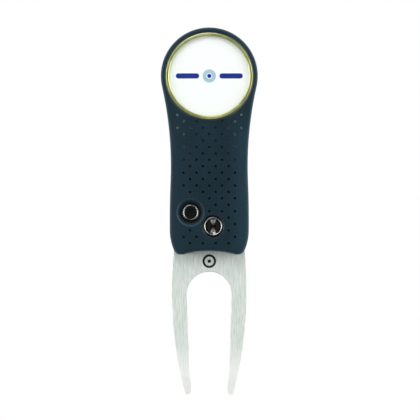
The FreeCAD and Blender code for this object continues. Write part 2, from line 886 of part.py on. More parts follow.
add_outline(
    slot,
    [
        ("0 - 0.5*driver_slot", "0 - pivot_head_radius"),
        ("0.5*driver_slot", "0 - pivot_head_radius"),
        ("0.5*driver_slot", "pivot_head_radius"),
        ("0 - 0.5*driver_slot", "pivot_head_radius"),
    ],
)
pocket(pivot_screw, slot, "driver_cut", "driver_depth", forward=True)

for side, near, far in (
    ("front", "fork_level + run_gap", "slot_level - run_gap"),
    ("rear", "0 - fork_level - run_gap", "0 - slot_level + run_gap"),
):
    turned(
        side + "_washer", *PIVOT,
        [
            ("pivot_radius + run_gap", near),
            ("washer_radius", near),
            ("washer_radius", far),
            ("pivot_radius + run_gap", far),
        ],
    )

stop_pin = turned(
    "stop_pin", "pivot_x", "pivot_z - stop_radius",
    [
        ("0", "0 - fork_level + run_gap"),
        ("stop_pin_radius", "0 - fork_level + run_gap"),
        ("stop_pin_radius", "stop_pin_level - edge_break"),
        ("stop_pin_radius - edge_break", "stop_pin_level"),
        ("0", "stop_pin_level"),
    ],
)


# ---------------------------------------------------------------- springs

def coil(body, radius, wire, start, pitch, height):
    """Round wire wound forward from a level. The mean radius is given."""
    sketch = new_sketch(body, "wire")
    add_circle(sketch, radius, start, wire)
    winding = body.newObject("PartDesign::AdditiveHelix", "winding")
    winding.Profile = sketch
    winding.ReferenceAxis = (sketch, ["V_Axis"])
    winding.Mode = "pitch-height-angle"
    winding.Pitch = value(pitch)
    winding.Height = value(height)
    winding.setExpression("Pitch", linked(pitch))
    winding.setExpression("Height", linked(height))
    sketch.Visibility = False
    document.recompute()


# Two turns round the boss. One leg runs forward into the fork's hub, the other runs outward
# into a slot in the rear plate. Each leg is a hair thicker than the wire and starts behind it,
# so that the three runs of wire join into one solid.
torsion_spring = new_body("torsion_spring")
coil(
    torsion_spring, "coil_radius", "coil_wire", "0 - coil_rear_level", "coil_pitch", "2*coil_pitch"
)
leg_radius = "coil_wire + seat_gap"
fork_leg = new_sketch(
    torsion_spring, "fork_leg_sketch", plane="XY_Plane",
    offset="2*coil_pitch - coil_rear_level" + taken_off(leg_radius),
)
add_circle(fork_leg, "coil_radius", "0", leg_radius)
pad(torsion_spring, fork_leg, "fork_leg", "coil_rear_level - 2*coil_pitch + " + leg_radius)
plate_leg = new_sketch(
    torsion_spring, "plate_leg_sketch", plane="YZ_Plane",
    offset="coil_radius" + taken_off(leg_radius),
)
add_circle(plate_leg, "0", "0 - coil_rear_level", leg_radius)
pad(torsion_spring, plate_leg, "plate_leg", "coil_leg_end - coil_radius")
place(torsion_spring, *PIVOT, spin=180)

button_spring = new_body("button_spring")
coil(
    button_spring, "button_coil_radius", "button_coil_wire",
    "button_coil_wire + run_gap - plunger_pocket_level", "button_coil_pitch", "button_coil_height",
)
place(button_spring, *BUTTON)


# ---------------------------------------------------------------- lock button

lock_plunger = turned(
    "lock_plunger", *BUTTON,
    [
        ("0", "pad_seat_level"),
        ("plunger_radius - rim_width", "pad_seat_level"),
        ("plunger_radius - rim_width", value("plunger_level") - RIM_DROP),
        ("plunger_radius", value("plunger_level") - RIM_DROP),
        ("plunger_radius", "flange_level"),
        ("flange_radius", "flange_level"),
        ("flange_radius", "stem_level"),
        ("stem_radius", "stem_level"),
        ("stem_radius", "0 - collar_level"),
        ("collar_radius", "0 - collar_level"),
        ("collar_radius", "0 - collar_end_level"),
        ("cup_radius", "0 - collar_end_level"),
        ("cup_radius", "0 - cup_level"),
        ("0", "0 - cup_level"),
    ],
    {
        2: (
            "plunger_radius - 0.5*rim_width", "plunger_level - rim_curve",
            "rim_curve", "right",
        ),
    },
)
pad_radius = "plunger_radius - rim_width - seat_gap"
pad_rise = value("pad_curve") - math.sqrt(value("pad_curve") ** 2 - value(pad_radius) ** 2)
button_pad = turned(
    "button_pad", *BUTTON,
    [
        ("0", "pad_seat_level"),
        (pad_radius, "pad_seat_level"),
        (pad_radius, value("pad_middle_level") + pad_rise),
        ("centre_flat", "pad_middle_level"),
        ("0", "pad_middle_level"),
    ],
    {2: ("0", "pad_middle_level + pad_curve", value("pad_curve"), "right")},
)
button_bezel = turned(
    "button_bezel", *BUTTON,
    [
        ("plunger_radius + run_gap", "front_plate_level"),
        ("bezel_radius", "front_plate_level"),
        ("bezel_radius", "dish_floor_level"),
        ("plunger_radius + run_gap + 2*edge_break", "dish_floor_level"),
        ("plunger_radius + run_gap", "dish_floor_level - 2*edge_break"),
    ],
)


# ---------------------------------------------------------------- marker and magnet

marker_magnet = turned(
    "marker_magnet", *HEAD,
    [
        ("0", "magnet_pocket_level"),
        ("magnet_radius", "magnet_pocket_level"),
        ("magnet_radius", "magnet_level - edge_break"),
        ("magnet_radius - edge_break", "magnet_level"),
        ("0", "magnet_level"),
    ],
)
marker_base = turned(
    "marker_base", *HEAD,
    [
        ("0", "marker_back_level"),
        ("marker_radius - marker_round", "marker_back_level"),
        ("marker_radius", "marker_back_level + marker_round"),
        ("marker_radius", "marker_face_level - marker_round"),
        ("marker_radius - marker_round", value("marker_face_level")),
        ("marker_rim_radius", "marker_face_level"),
        ("marker_well_radius", "marker_face_level - edge_break"),
        ("marker_well_radius", "marker_well_level"),
        ("0", "marker_well_level"),
    ],
    {
        3: (
            "marker_radius - marker_round", "marker_face_level - marker_round",
            value("marker_round"), "left",
        ),
    },
)
marker_insert = turned(
    "marker_insert", *HEAD,
    [
        ("0", "marker_well_level + film_gap"),
        ("dome_radius", "marker_well_level + film_gap"),
        ("dome_radius", "insert_level"),
        ("0", "insert_level"),
    ],
)
dome_edge = value("dome_apex_level - dome_sphere_radius") + math.sqrt(
    value("dome_sphere_radius") ** 2 - value("dome_radius") ** 2
)
marker_dome = turned(
    "marker_dome", *HEAD,
    [
        ("0", "insert_level + film_gap"),
        ("dome_radius", "insert_level + film_gap"),
        ("dome_radius", dome_edge),
        ("centre_flat", "dome_apex_level"),
        ("0", "dome_apex_level"),
    ],
    {2: ("0", "dome_apex_level - dome_sphere_radius", value("dome_sphere_radius"), "left")},
)


# ---------------------------------------------------------------- frame screws

screws = []
for number, (x, z) in enumerate(SCREW_SPOTS, start=1):
    screw = turned(
        f"frame_screw_{number}", x, z,
        [
            ("0", "0 - screw_face_level"),
            ("screw_head_radius - edge_break", "0 - screw_face_level"),
            ("screw_head_radius", "edge_break - screw_face_level"),
            ("screw_head_radius", "0 - rear_plate_level"),
            ("screw_radius", "0 - rear_plate_level"),
            ("screw_radius", "screw_end_level - edge_break"),
            ("screw_radius - edge_break", "screw_end_level"),
            ("0", "screw_end_level"),
        ],
    )
    socket = screw.newObject("PartDesign::SubtractivePrism", "hex_socket")
    floor = next(item for item in screw.Origin.OriginFeatures if item.Role == "XY_Plane")
    socket.AttachmentSupport = [(floor, "")]
    socket.MapMode = "FlatFace"
    socket.setExpression("AttachmentOffset.Base.z", linked("0 - screw_face_level - driver_depth"))
    socket.Polygon = 6
    socket.setExpression("Circumradius", linked("screw_socket"))
    socket.setExpression("Height", linked("2*driver_depth"))
    screws.append(screw)
document.recompute()

frame_screws = document.addObject("Part::Compound", "frame_screws")
frame_screws.Label = "frame_screws"
frame_screws.Links = screws


# ---------------------------------------------------------------- checks and export

document.recompute()
for item in document.Objects:
    if "Invalid" in item.State or "Error" in item.State:
        raise RuntimeError(f"{item.Label} did not compute: {item.State}")

parts = [item for item in document.Objects if item.TypeId == "PartDesign::Body"]
parts = [item for item in parts if item not in screws] + [frame_screws]
os.makedirs("parts", exist_ok=True)
for part in parts:
    shape = part.Shape
    solids = len(screws) if part is frame_screws else 1
    if shape.isNull() or not shape.isValid() or len(shape.Solids) != solids:
        raise RuntimeError(f"{part.Label} is not a sound shape")
    shape.exportStep(f"parts/{part.Label}.step")
    print(f"{part.Label}: {shape.Volume:.2f} mm3")
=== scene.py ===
import math

import bpy
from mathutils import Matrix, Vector


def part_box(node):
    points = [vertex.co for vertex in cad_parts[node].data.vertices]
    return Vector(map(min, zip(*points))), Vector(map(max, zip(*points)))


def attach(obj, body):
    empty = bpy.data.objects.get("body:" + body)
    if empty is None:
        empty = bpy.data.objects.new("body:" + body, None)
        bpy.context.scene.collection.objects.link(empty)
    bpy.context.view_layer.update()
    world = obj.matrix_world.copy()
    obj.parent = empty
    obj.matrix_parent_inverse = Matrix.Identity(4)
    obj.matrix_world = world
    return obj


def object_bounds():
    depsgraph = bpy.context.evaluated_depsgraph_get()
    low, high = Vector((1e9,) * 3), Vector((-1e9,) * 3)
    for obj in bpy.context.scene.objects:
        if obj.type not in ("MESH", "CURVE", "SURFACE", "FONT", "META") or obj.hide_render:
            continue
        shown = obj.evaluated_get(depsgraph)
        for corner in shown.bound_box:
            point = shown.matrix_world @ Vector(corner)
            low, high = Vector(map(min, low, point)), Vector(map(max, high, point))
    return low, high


# The looks of the folding divot repair tool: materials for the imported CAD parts, the printed
# marks, a studio and the camera. Lengths are in metres, and colours are linear RGB. The front
# faces -Y, and +Z runs from the prong tips to the head.

MM = 0.001
NOISE_RANGE = (0.3, 0.7)           # nearly all values of Blender's noise lie between these

# Printed marks: outer radii of the rings, the width of their lines, and half of a bar's height
FORK_MARK_HEIGHT = 38.2 * MM       # of the mark's middle, above the prong tips
FORK_RING_RADIUS = 1.95 * MM
FORK_RING_LINE = 0.62 * MM
FORK_DOT_RADIUS = 0.5 * MM
FORK_INK = 0.02 * MM               # thickness
AIM_RING_RADIUS = 1.9 * MM
AIM_RING_LINE = 1.1 * MM
AIM_DOT_RADIUS = 0.6 * MM
AIM_BAR_GAP = 1.0 * MM             # from the ring to each bar
AIM_BAR_END = 9.6 * MM             # from the disc's middle
AIM_BAR_HALF = 0.75 * MM
AIM_INK = 0.006 * MM               # thickness

# Studio: name, place, width and watts of each square soft box
LAMPS = (
    ("key", (-0.12, -0.40, 0.44), 0.30, 1.1),
    ("left", (-0.52, -0.16, 0.11), 0.35, 0.75),
    ("right", (0.52, -0.16, 0.12), 0.35, 0.75),
    ("back", (-0.10, 0.42, 0.42), 0.30, 0.5),
)
FLOOR_HALF = 0.9                   # half the table's width
FLOOR_DROP = 0.4 * MM              # below the prong tips
CAMERA_DISTANCE = 0.6
VIEW_WIDTH = 120.4 * MM
VIEW_RIGHT = 0.2 * MM              # the view's middle from the object's middle
VIEW_UP = 0.27 * MM

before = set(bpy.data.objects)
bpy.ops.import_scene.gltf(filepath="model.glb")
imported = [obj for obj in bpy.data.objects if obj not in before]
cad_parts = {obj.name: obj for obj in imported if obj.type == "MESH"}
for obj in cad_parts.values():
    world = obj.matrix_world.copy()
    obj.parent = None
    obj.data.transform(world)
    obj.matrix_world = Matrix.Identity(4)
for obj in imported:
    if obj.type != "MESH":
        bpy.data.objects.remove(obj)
cad_low, cad_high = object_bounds()
cad_middle = (cad_low + cad_high) / 2
scene = bpy.context.scene


def centre_of(name):
    """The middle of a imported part's box at rest."""
    low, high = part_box(name)
    return (low + high) / 2


def radius_of(name):
    """Half the width of a packed round part."""
    low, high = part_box(name)
    return (high.x - low.x) / 2


# ---- Material building ----

class Nodes:
    """A node tree under construction. Values and links go in by socket name or number."""

    def __init__(self, tree):
        self.tree = tree

    def feed(self, node, socket, value):
        if isinstance(value, bpy.types.NodeSocket):
            self.tree.links.new(value, node.inputs[socket])
        else:
            node.inputs[socket].default_value = value

    def add(self, kind, inputs=None, **settings):
        node = self.tree.nodes.new(kind)
        for setting, value in settings.items():
            setattr(node, setting, value)
        for socket, value in (inputs or {}).items():
            self.feed(node, socket, value)
        return node

    def math(self, operation, *values):
        return self.add("ShaderNodeMath", dict(enumerate(values)), operation=operation).outputs[0]

    def vector(self, operation, *values):
        """The outputs of a sum with vectors: "Vector" and "Value"."""
        return self.add("ShaderNodeVectorMath", dict(enumerate(values)), operation=operation).outputs

    def product(self, first, *others):
        """All the values multiplied together."""
        for other in others:
            first = self.math("MULTIPLY", first, other)
        return first

    def spread(self, value, levels, over=NOISE_RANGE):
        """Eases from the first level to the second while value runs over a range."""
        return self.add("ShaderNodeMapRange", {
            "Value": value, "From Min": over[0], "From Max": over[1],
            "To Min": levels[0], "To Max": levels[1]}, interpolation_type="SMOOTHSTEP").outputs[0]


class Paint(Nodes):
    """A material under construction, with a Principled shader to start from. Its patterns go by
    the object's own coordinates, so they travel with a part that moves."""

    def __init__(self, name, **values):
        self.material = bpy.data.materials.new(name)
        self.material.use_nodes = True
        super().__init__(self.material.node_tree)
        self.shader = self.tree.nodes["Principled BSDF"]
        self.output = self.tree.nodes["Material Output"]
        self.place = self.add("ShaderNodeTexCoord").outputs["Object"]
        self.x, self.y, self.z = self.add("ShaderNodeSeparateXYZ", {0: self.place}).outputs
        for socket, value in values.items():
            self.feed(self.shader, socket.replace("_", " "), value)

    def finish(self, colour, roughness, *layers):
        """Puts on the colour, the roughness and the relief, and hands over the material."""
        self.feed(self.shader, "Base Color", colour)
        self.feed(self.shader, "Roughness", roughness)
        self.relief(*layers)
        return self.material

    # Patterns and colours

    def noise(self, size, detail=3.0, stretch=(1, 1, 1), shift=(0, 0, 0)):
        """Cloudy noise whose lumps are size across, or longer along a stretched axis."""
        scale = [1 / (size * s) for s in stretch]
        mapping = self.add("ShaderNodeMapping", {
            "Vector": self.place, "Scale": scale, "Location": shift})
        noise = self.add("ShaderNodeTexNoise", {
            "Vector": mapping.outputs[0], "Scale": 1.0, "Detail": detail})
        return noise.outputs[0]

    def blend(self, factor, first, second):
        """A colour between two colours."""
        node = self.add("ShaderNodeMix", data_type="RGBA")
        self.feed(node, 0, factor)
        for socket, colour in ((6, first), (7, second)):
            self.feed(node, socket, colour if isinstance(colour, bpy.types.NodeSocket)
                      else (*colour, 1.0))
        return node.outputs[2]

    def tones(self, noise, dark, light, over=NOISE_RANGE):
        """A colour that varies between two tones as the noise does."""
        return self.blend(self.spread(noise, (0, 1), over), dark, light)

    # Masks

    def edges(self, radius):
        """1 along edges and rims, 0 on the open surface."""
        rounded = self.add("ShaderNodeBevel", {"Radius": radius}, samples=4).outputs[0]
        normal = self.add("ShaderNodeNewGeometry").outputs["Normal"]
        bend = self.math("SUBTRACT", 1.0, self.vector("DOT_PRODUCT", rounded, normal)["Value"])
        return self.spread(bend, (0, 1), over=(0.02, 0.35))

    def hollows(self, reach):
        """0 deep in holes and corners no wider than reach, 1 on the open surface."""
        shade = self.add("ShaderNodeAmbientOcclusion", {"Distance": reach}, samples=8)
        return self.spread(shade.outputs["AO"], (0, 1), over=(0.45, 0.97))

    def rounded_edges(self):
        """1 where a rounded edge turns away from the front or back, 0 on faces and flanks."""
        normal = self.add("ShaderNodeNewGeometry").outputs["Normal"]
        own = self.add("ShaderNodeVectorTransform", {0: normal}, vector_type="NORMAL",
                       convert_from="WORLD", convert_to="OBJECT").outputs[0]
        facing = self.math("ABSOLUTE", self.add("ShaderNodeSeparateXYZ", {0: own}).outputs["Y"])
        return self.product(self.spread(facing, (1, 0), over=(0.6, 0.95)),
                            self.spread(facing, (0, 1), over=(0, 0.2)))

    def off_axis(self, centre):
        """Distance from the line that runs front to back through centre."""
        offset = self.vector("SUBTRACT", self.place, (centre.x, 0, centre.z))["Vector"]
        flat = self.vector("MULTIPLY", offset, (1, 0, 1))["Vector"]
        return self.vector("LENGTH", flat)["Value"]

    def ring(self, centre, radius, half):
        """1 on a circle about a front-to-back line, and 0 from a distance of half from it."""
        away = self.math("ABSOLUTE", self.math("SUBTRACT", self.off_axis(centre), radius))
        return self.spread(away, (1, 0), over=(0.3 * half, half))

    def beside(self, centre, least, over):
        """least straight above and below a front-to-back line, 1 well to its left and right."""
        aside = self.math("ABSOLUTE", self.math("SUBTRACT", self.x, centre.x))
        eased = self.spread(aside, (0, 1), over)
        return self.spread(eased, (least, 1), over=(0, 1))

    # Relief and machining marks

    def relief(self, *layers):
        """Bumps from (height, distance) pairs, one on top of the other."""
        normal = None
        for height, distance in layers:
            bump = self.add("ShaderNodeBump", {"Height": height, "Distance": distance})
            if normal:
                self.feed(bump, "Normal", normal)
            normal = bump.outputs[0]
        self.feed(self.shader, "Normal", normal)

    def brushed(self, tangent, strength, rotation=0.0):
        """Stretches highlights along a tangent, which rotation turns by a part of a full turn."""
        self.feed(self.shader, "Tangent", tangent)
        self.feed(self.shader, "Anisotropic", strength)
        self.feed(self.shader, "Anisotropic Rotation", rotation)

    def brushed_along_z(self, strength):
        """Fine upright scratches, which draw highlights out sideways across them."""
        across = self.add("ShaderNodeVectorTransform", {0: (1, 0, 0)}, vector_type="VECTOR",
                          convert_from="OBJECT", convert_to="WORLD").outputs[0]
        self.brushed(across, strength)

    def turned(self, strength):
        """Fine concentric machining marks, which draw highlights out across the rings."""
        around = self.add("ShaderNodeTangent", direction_type="RADIAL", axis="Y").outputs[0]
        self.brushed(around, strength, rotation=0.25)


# ---- The handle's rubber ----

def flank_light(paint):
    """Painted light on the rubber: lighter on the flanks below the head, and most on the right,
    where the light falls.
    """
    head = centre_of("marker_base").z
    flanks = paint.spread(paint.math("ABSOLUTE", paint.x), (0, 1), over=(5 * MM, 11 * MM))
    right = paint.spread(paint.x, (0.4, 1.2), over=(-8 * MM, 8 * MM))
    below = paint.spread(paint.z, (1, 0), over=(head - 19.3 * MM, head - 9.3 * MM))
    return paint.product(flanks, right, below)


def dimple_shade_and_glint(paint):
    """Painted shade at the bottom of the dimples, and painted glints in those beside the head."""
    head = centre_of("marker_base").z
    # Both colours are painted light: a dark painted shade for the dimples' bottoms, and a light
    # painted glint for the dimples beside the head.
    dark, dust = (0.0012, 0.008, 0.014), (0.38, 0.45, 0.44)
    near_head = paint.spread(paint.z, (0, 1), over=(head - 28.3 * MM, head - 12.3 * MM))
    off_middle = paint.spread(paint.math("ABSOLUTE", paint.x), (0.12, 1), over=(3 * MM, 9 * MM))
    return paint.blend(paint.product(near_head, off_middle), dark, dust)


def painted_highlights(paint):
    """Where painted highlights go on the rubber: its rounded edges, and in front the lip of the
    button's dish, which is lit more on its left."""
    lip_radius, lip_half, edge_highlight = 3.9 * MM, 0.26 * MM, 0.55
    lip = paint.ring(centre_of("button_bezel"), lip_radius, lip_half)
    bezel_low, bezel_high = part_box("button_bezel")
    left = paint.spread(paint.x, (0.7, 0.25),
                        over=(bezel_low.x - 1.1 * MM, bezel_high.x + 0.3 * MM))
    front = paint.spread(paint.y, (1, 0), over=(-1 * MM, 0))
    return paint.math("MAXIMUM", paint.product(lip, left, front),
                      paint.product(paint.rounded_edges(), edge_highlight))


def navy_rubber():
    """Soft-touch rubber: matte grain, faint clouding, a cushioned crown, and painted light: lighter
    flanks and edges, shaded dimples.
    """
    paint = Paint("navy_rubber", Specular_IOR_Level=0.2, Sheen_Weight=0.06,
                  Sheen_Roughness=0.35, Sheen_Tint=(0.45, 0.62, 0.75, 1.0))
    cloud = paint.noise(7 * MM, detail=4)
    grain = paint.noise(0.12 * MM, detail=2)
    # The first colour is painted light for the flanks. The last is a painted highlight for the
    # rounded edges and the dish's lip.
    painted_light, speck, worn = (0.0060, 0.029, 0.046), (0.011, 0.030, 0.045), (0.045, 0.085, 0.12)
    navy = paint.tones(cloud, (0.0020, 0.0160, 0.0272), (0.0036, 0.0200, 0.0327))
    # Painted light: a lighter navy on the flanks below the head, strongest on the right.
    navy = paint.blend(flank_light(paint), navy, painted_light)
    navy = paint.blend(paint.spread(grain, (0, 0.35), over=(0.5, 0.75)), navy, speck)
    # Painted shade in hollows such as the dimples and the button's dish, with painted glints beside
    # the head.
    dimple_reach = 1.4 * MM        # about twice a dimple's width
    navy = paint.blend(paint.hollows(dimple_reach), dimple_shade_and_glint(paint), navy)
    # Painted highlights on the rounded edges and on the lip of the button's dish.
    navy = paint.blend(painted_highlights(paint), navy, worn)
    # The crown's height follows an arc from side to side. It is in metres, so its distance is 1.
    crown_radius = 30 * MM
    crown = paint.product(paint.x, paint.x, -0.5 / crown_radius)
    return paint.finish(navy, paint.spread(cloud, (0.58, 0.7)),
                        (crown, 1.0), (grain, 0.012 * MM), (cloud, 0.05 * MM))


# ---- Metals ----

def brushed_steel():
    """Steel brushed lengthwise: long fine scratches, and prongs worn bright by turf."""
    paint = Paint("brushed_steel")
    streak = paint.noise(0.17 * MM, detail=4, stretch=(1, 1, 30))
    hair = paint.noise(0.12 * MM, detail=4, stretch=(1, 1, 16), shift=(5, 0, 3))
    wash = paint.noise(5 * MM, detail=3, stretch=(1, 1, 3))
    lines = paint.product(paint.math("ADD", streak, hair), 0.5)
    line_range = (0.4, 0.6)
    washed, bright = (0.90, 0.95, 0.91), (1.0, 0.99, 0.97)
    steel = paint.tones(lines, (0.74, 0.83, 0.76), (1.0, 1.0, 1.0), over=line_range)
    steel = paint.blend(paint.spread(wash, (0, 0.3)), steel, washed)
    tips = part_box("fork")[0].z
    worn = paint.spread(paint.z, (0.8, 0), over=(tips + 2 * MM, tips + 20 * MM))
    paint.feed(paint.shader, "Metallic", paint.spread(worn, (0.8, 0.5), over=(0, 0.8)))
    paint.brushed_along_z(strength=0.75)
    return paint.finish(paint.blend(worn, steel, bright),
                        paint.spread(lines, (0.74, 0.66), over=line_range), (lines, 0.006 * MM))


def polished_steel():
    """Turned and polished steel, with hairline scratches."""
    paint = Paint("polished_steel", Metallic=1.0)
    scratch = paint.noise(0.15 * MM, detail=2, stretch=(6, 1, 1))
    smear = paint.noise(1.5 * MM, detail=3)
    steel = paint.tones(scratch, (0.60, 0.61, 0.59), (0.74, 0.75, 0.73), over=(0.35, 0.65))
    return paint.finish(steel, paint.spread(smear, (0.10, 0.2)), (scratch, 0.002 * MM))


def button_steel():
    """The lock button: polished steel, its rim with a painted highlight at the sides and painted
    shade below.
    """
    paint = Paint("button_steel", Metallic=1.0)
    smear = paint.noise(0.6 * MM, detail=3)
    button = centre_of("button_pad")
    # Painted light on the rim: a near-black painted shade below, and a bright painted highlight at
    # the sides.
    button_shade = (0.02, 0.02, 0.02)
    bright = paint.tones(smear, (0.74, 0.75, 0.73), (0.92, 0.93, 0.90))
    sides = paint.beside(button, least=0.3, over=(0.4 * MM, 1.7 * MM))
    upper = paint.spread(paint.math("SUBTRACT", paint.z, button.z), (0.3, 1),
                         over=(-2.1 * MM, -1.0 * MM))
    steel = paint.blend(paint.product(sides, upper), button_shade, bright)
    return paint.finish(steel, paint.spread(smear, (0.12, 0.2)), (smear, 0.002 * MM))


def turned_steel():
    """The pivot's dished head: painted shade towards its rim, and a painted highlight on the rim at
    the sides.
    """
    paint = Paint("turned_steel", Metallic=1.0)
    smear = paint.noise(0.5 * MM, detail=4)
    pivot, radius = centre_of("pivot_bolt"), radius_of("pivot_bolt")
    # Painted light: a near-black painted shade on the dish towards the rim, and a bright painted
    # highlight on the rim's sides.
    dish_shade_colour, bright = (0.09, 0.09, 0.09), (0.95, 0.95, 0.92)
    steel = paint.tones(smear, (0.52, 0.53, 0.50), (0.66, 0.67, 0.64))
    dish_shade = paint.spread(paint.off_axis(pivot), (0, 1),
                          over=(radius - 1.1 * MM, radius - 0.5 * MM))
    steel = paint.blend(dish_shade, steel, dish_shade_colour)
    rim = paint.ring(pivot, radius - 0.28 * MM, half=0.2 * MM)
    painted_light = paint.product(rim, paint.beside(pivot, least=0.35, over=(0.5 * MM, 2.0 * MM)))
    steel = paint.blend(painted_light, steel, bright)
    return paint.finish(steel, paint.spread(smear, (0.05, 0.09)), (smear, 0.001 * MM))


def gilt_brass():
    """Pale gilt metal, turned: lighter along its edges, with painted shade on its outer wall."""
    paint = Paint("gilt_brass", Metallic=1.0)
    tone = paint.noise(2.2 * MM, detail=4)
    scratch = paint.noise(0.09 * MM, detail=2)
    # The second colour is painted shade for the ring's outer wall.
    light, shaded = (0.80, 0.82, 0.50), (0.28, 0.30, 0.13)
    radius = radius_of("marker_base")
    gilt = paint.tones(tone, (0.66, 0.69, 0.30), (0.76, 0.79, 0.37))
    gilt = paint.blend(paint.edges(0.12 * MM), gilt, light)
    wall_shade = paint.spread(paint.off_axis(centre_of("marker_base")), (0, 1),
                        over=(radius - 0.2 * MM, radius))
    paint.turned(strength=0.4)
    return paint.finish(paint.blend(wall_shade, gilt, shaded), paint.spread(tone, (0.36, 0.46)),
                        (scratch, 0.0015 * MM))


def blasted_aluminium():
    """Frame plates: bead-blasted aluminium, brighter on worn edges."""
    paint = Paint("blasted_aluminium", Metallic=1.0)
    grit = paint.noise(0.09 * MM, detail=3)
    wash = paint.noise(4 * MM, detail=3)
    speck, bright = (0.55, 0.56, 0.57), (0.72, 0.73, 0.74)
    metal = paint.tones(wash, (0.36, 0.37, 0.38), (0.47, 0.48, 0.49))
    metal = paint.blend(paint.spread(grit, (0, 0.5)), metal, speck)
    metal = paint.blend(paint.edges(0.15 * MM), metal, bright)
    return paint.finish(metal, paint.spread(grit, (0.42, 0.58)), (grit, 0.01 * MM))


def spring_wire():
    """Drawn spring wire, dark and slightly oily."""
    paint = Paint("spring_wire", Metallic=1.0)
    drawn = paint.noise(0.06 * MM, detail=2)
    oil = paint.noise(0.9 * MM, detail=3)
    wire = paint.tones(oil, (0.27, 0.27, 0.28), (0.45, 0.45, 0.45))
    return paint.finish(wire, paint.spread(oil, (0.22, 0.38)), (drawn, 0.003 * MM))


def nickel_plate():
    """Bright nickel plating of the magnet, with a faint orange peel."""
    paint = Paint("nickel_plate", Metallic=1.0)
    peel = paint.noise(0.35 * MM, detail=2)
    tarnish = paint.noise(3 * MM, detail=4)
    nickel = paint.tones(tarnish, (0.56, 0.54, 0.50), (0.68, 0.67, 0.64))
    return paint.finish(nickel, paint.spread(tarnish, (0.14, 0.26)), (peel, 0.006 * MM))


# ---- Plastics, resin and ink ----

def black_plastic():
    """Satin black moulding with a fine spark-eroded texture and lighter edges."""
    paint = Paint("black_plastic", Specular_IOR_Level=0.1)
    grain = paint.noise(0.1 * MM, detail=3)
    dust = paint.noise(1.1 * MM, detail=4)
    worn = (0.02, 0.02, 0.02)
    black = paint.tones(dust, (0.003, 0.0038, 0.004), (0.006, 0.007, 0.0075))
    black = paint.blend(paint.edges(0.1 * MM), black, worn)
    return paint.finish(black, paint.spread(grain, (0.36, 0.5)), (grain, 0.006 * MM))


def washer_plastic():
    """Slippery natural-white moulding of the two washers."""
    paint = Paint("washer_plastic", Subsurface_Weight=0.05)
    mottle = paint.noise(0.4 * MM, detail=4)
    white = paint.tones(mottle, (0.66, 0.65, 0.60), (0.76, 0.75, 0.71))
    return paint.finish(white, paint.spread(mottle, (0.38, 0.5)), (mottle, 0.005 * MM))


def printed_white():
    """White printed enamel under the dome, very slightly mottled."""
    paint = Paint("printed_white", Coat_Weight=0.2)
    mottle = paint.noise(0.8 * MM, detail=5)
    white = paint.tones(mottle, (0.965, 0.968, 0.972), (0.985, 0.987, 0.990))
    return paint.finish(white, 0.4, (mottle, 0.004 * MM))


def clear_resin():
    """Cast clear resin: it lets the print show, and mirrors the studio near its edge."""
    paint = Paint("clear_resin")
    ripple = paint.noise(6 * MM, detail=1)
    bump = paint.add("ShaderNodeBump", {"Height": ripple, "Distance": 0.05 * MM}).outputs[0]
    gloss = paint.add("ShaderNodeBsdfGlossy", {
        "Color": (1, 1, 1, 1), "Roughness": paint.spread(ripple, (0.02, 0.05)), "Normal": bump})
    clear = paint.add("ShaderNodeBsdfTransparent", {"Color": (0.99, 0.995, 0.993, 1)})
    rim = paint.add("ShaderNodeFresnel", {"IOR": 1.4, "Normal": bump}).outputs[0]
    inside = paint.add("ShaderNodeNewGeometry").outputs["Backfacing"]
    mirror = paint.product(rim, paint.math("SUBTRACT", 1.0, inside))
    mix = paint.add("ShaderNodeMixShader", {
        0: mirror, 1: clear.outputs[0], 2: gloss.outputs[0]})
    paint.feed(paint.output, "Surface", mix.outputs[0])
    paint.tree.nodes.remove(paint.shader)
    return paint.material


def ink(name, dark, light):
    """A printed colour that thins out a little in small specks."""
    paint = Paint(name, Coat_Weight=0.1)
    speck = paint.noise(0.18 * MM, detail=4)
    colour = paint.tones(speck, dark, light, over=(0.45, 0.75))
    return paint.finish(colour, paint.spread(speck, (0.42, 0.55)), (speck, 0.003 * MM))


def dress_cad_parts():
    """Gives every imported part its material."""
    finishes = {
        navy_rubber: ("front_grip", "rear_grip"),
        blasted_aluminium: ("front_frame", "rear_frame", "spine_spacer"),
        brushed_steel: ("fork",),
        polished_steel: ("stop_pin", "pivot_screw", "frame_screws"),
        turned_steel: ("pivot_bolt",),
        washer_plastic: ("front_washer", "rear_washer"),
        spring_wire: ("torsion_spring", "button_spring"),
        button_steel: ("lock_plunger",),
        black_plastic: ("button_pad", "button_bezel"),
        nickel_plate: ("marker_magnet",),
        gilt_brass: ("marker_base",),
        printed_white: ("marker_insert",),
        clear_resin: ("marker_dome",),
    }
    for build, names in finishes.items():
        material = build()
        for name in names:
            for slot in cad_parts[name].material_slots:
                slot.material = material


# ---- Printed marks ----

def closed_spline(curve):
    """The four points of a new closed Bezier outline in a flat curve."""
    spline = curve.splines.new("BEZIER")
    spline.bezier_points.add(3)
    spline.use_cyclic_u = True
    return spline.bezier_points


def circle(curve, z, radius):
    """A round outline about x = 0, drawn with four Bezier arcs."""
    reach = radius * 4 / 3 * (math.sqrt(2) - 1)
    for index, point in enumerate(closed_spline(curve)):
        angle = math.radians(90 * index)
        across = Vector((math.cos(angle), math.sin(angle), 0))
        along = Vector((-math.sin(angle), math.cos(angle), 0))
        point.co = Vector((0, z, 0)) + across * radius
        point.handle_left = point.co - along * reach
        point.handle_right = point.co + along * reach


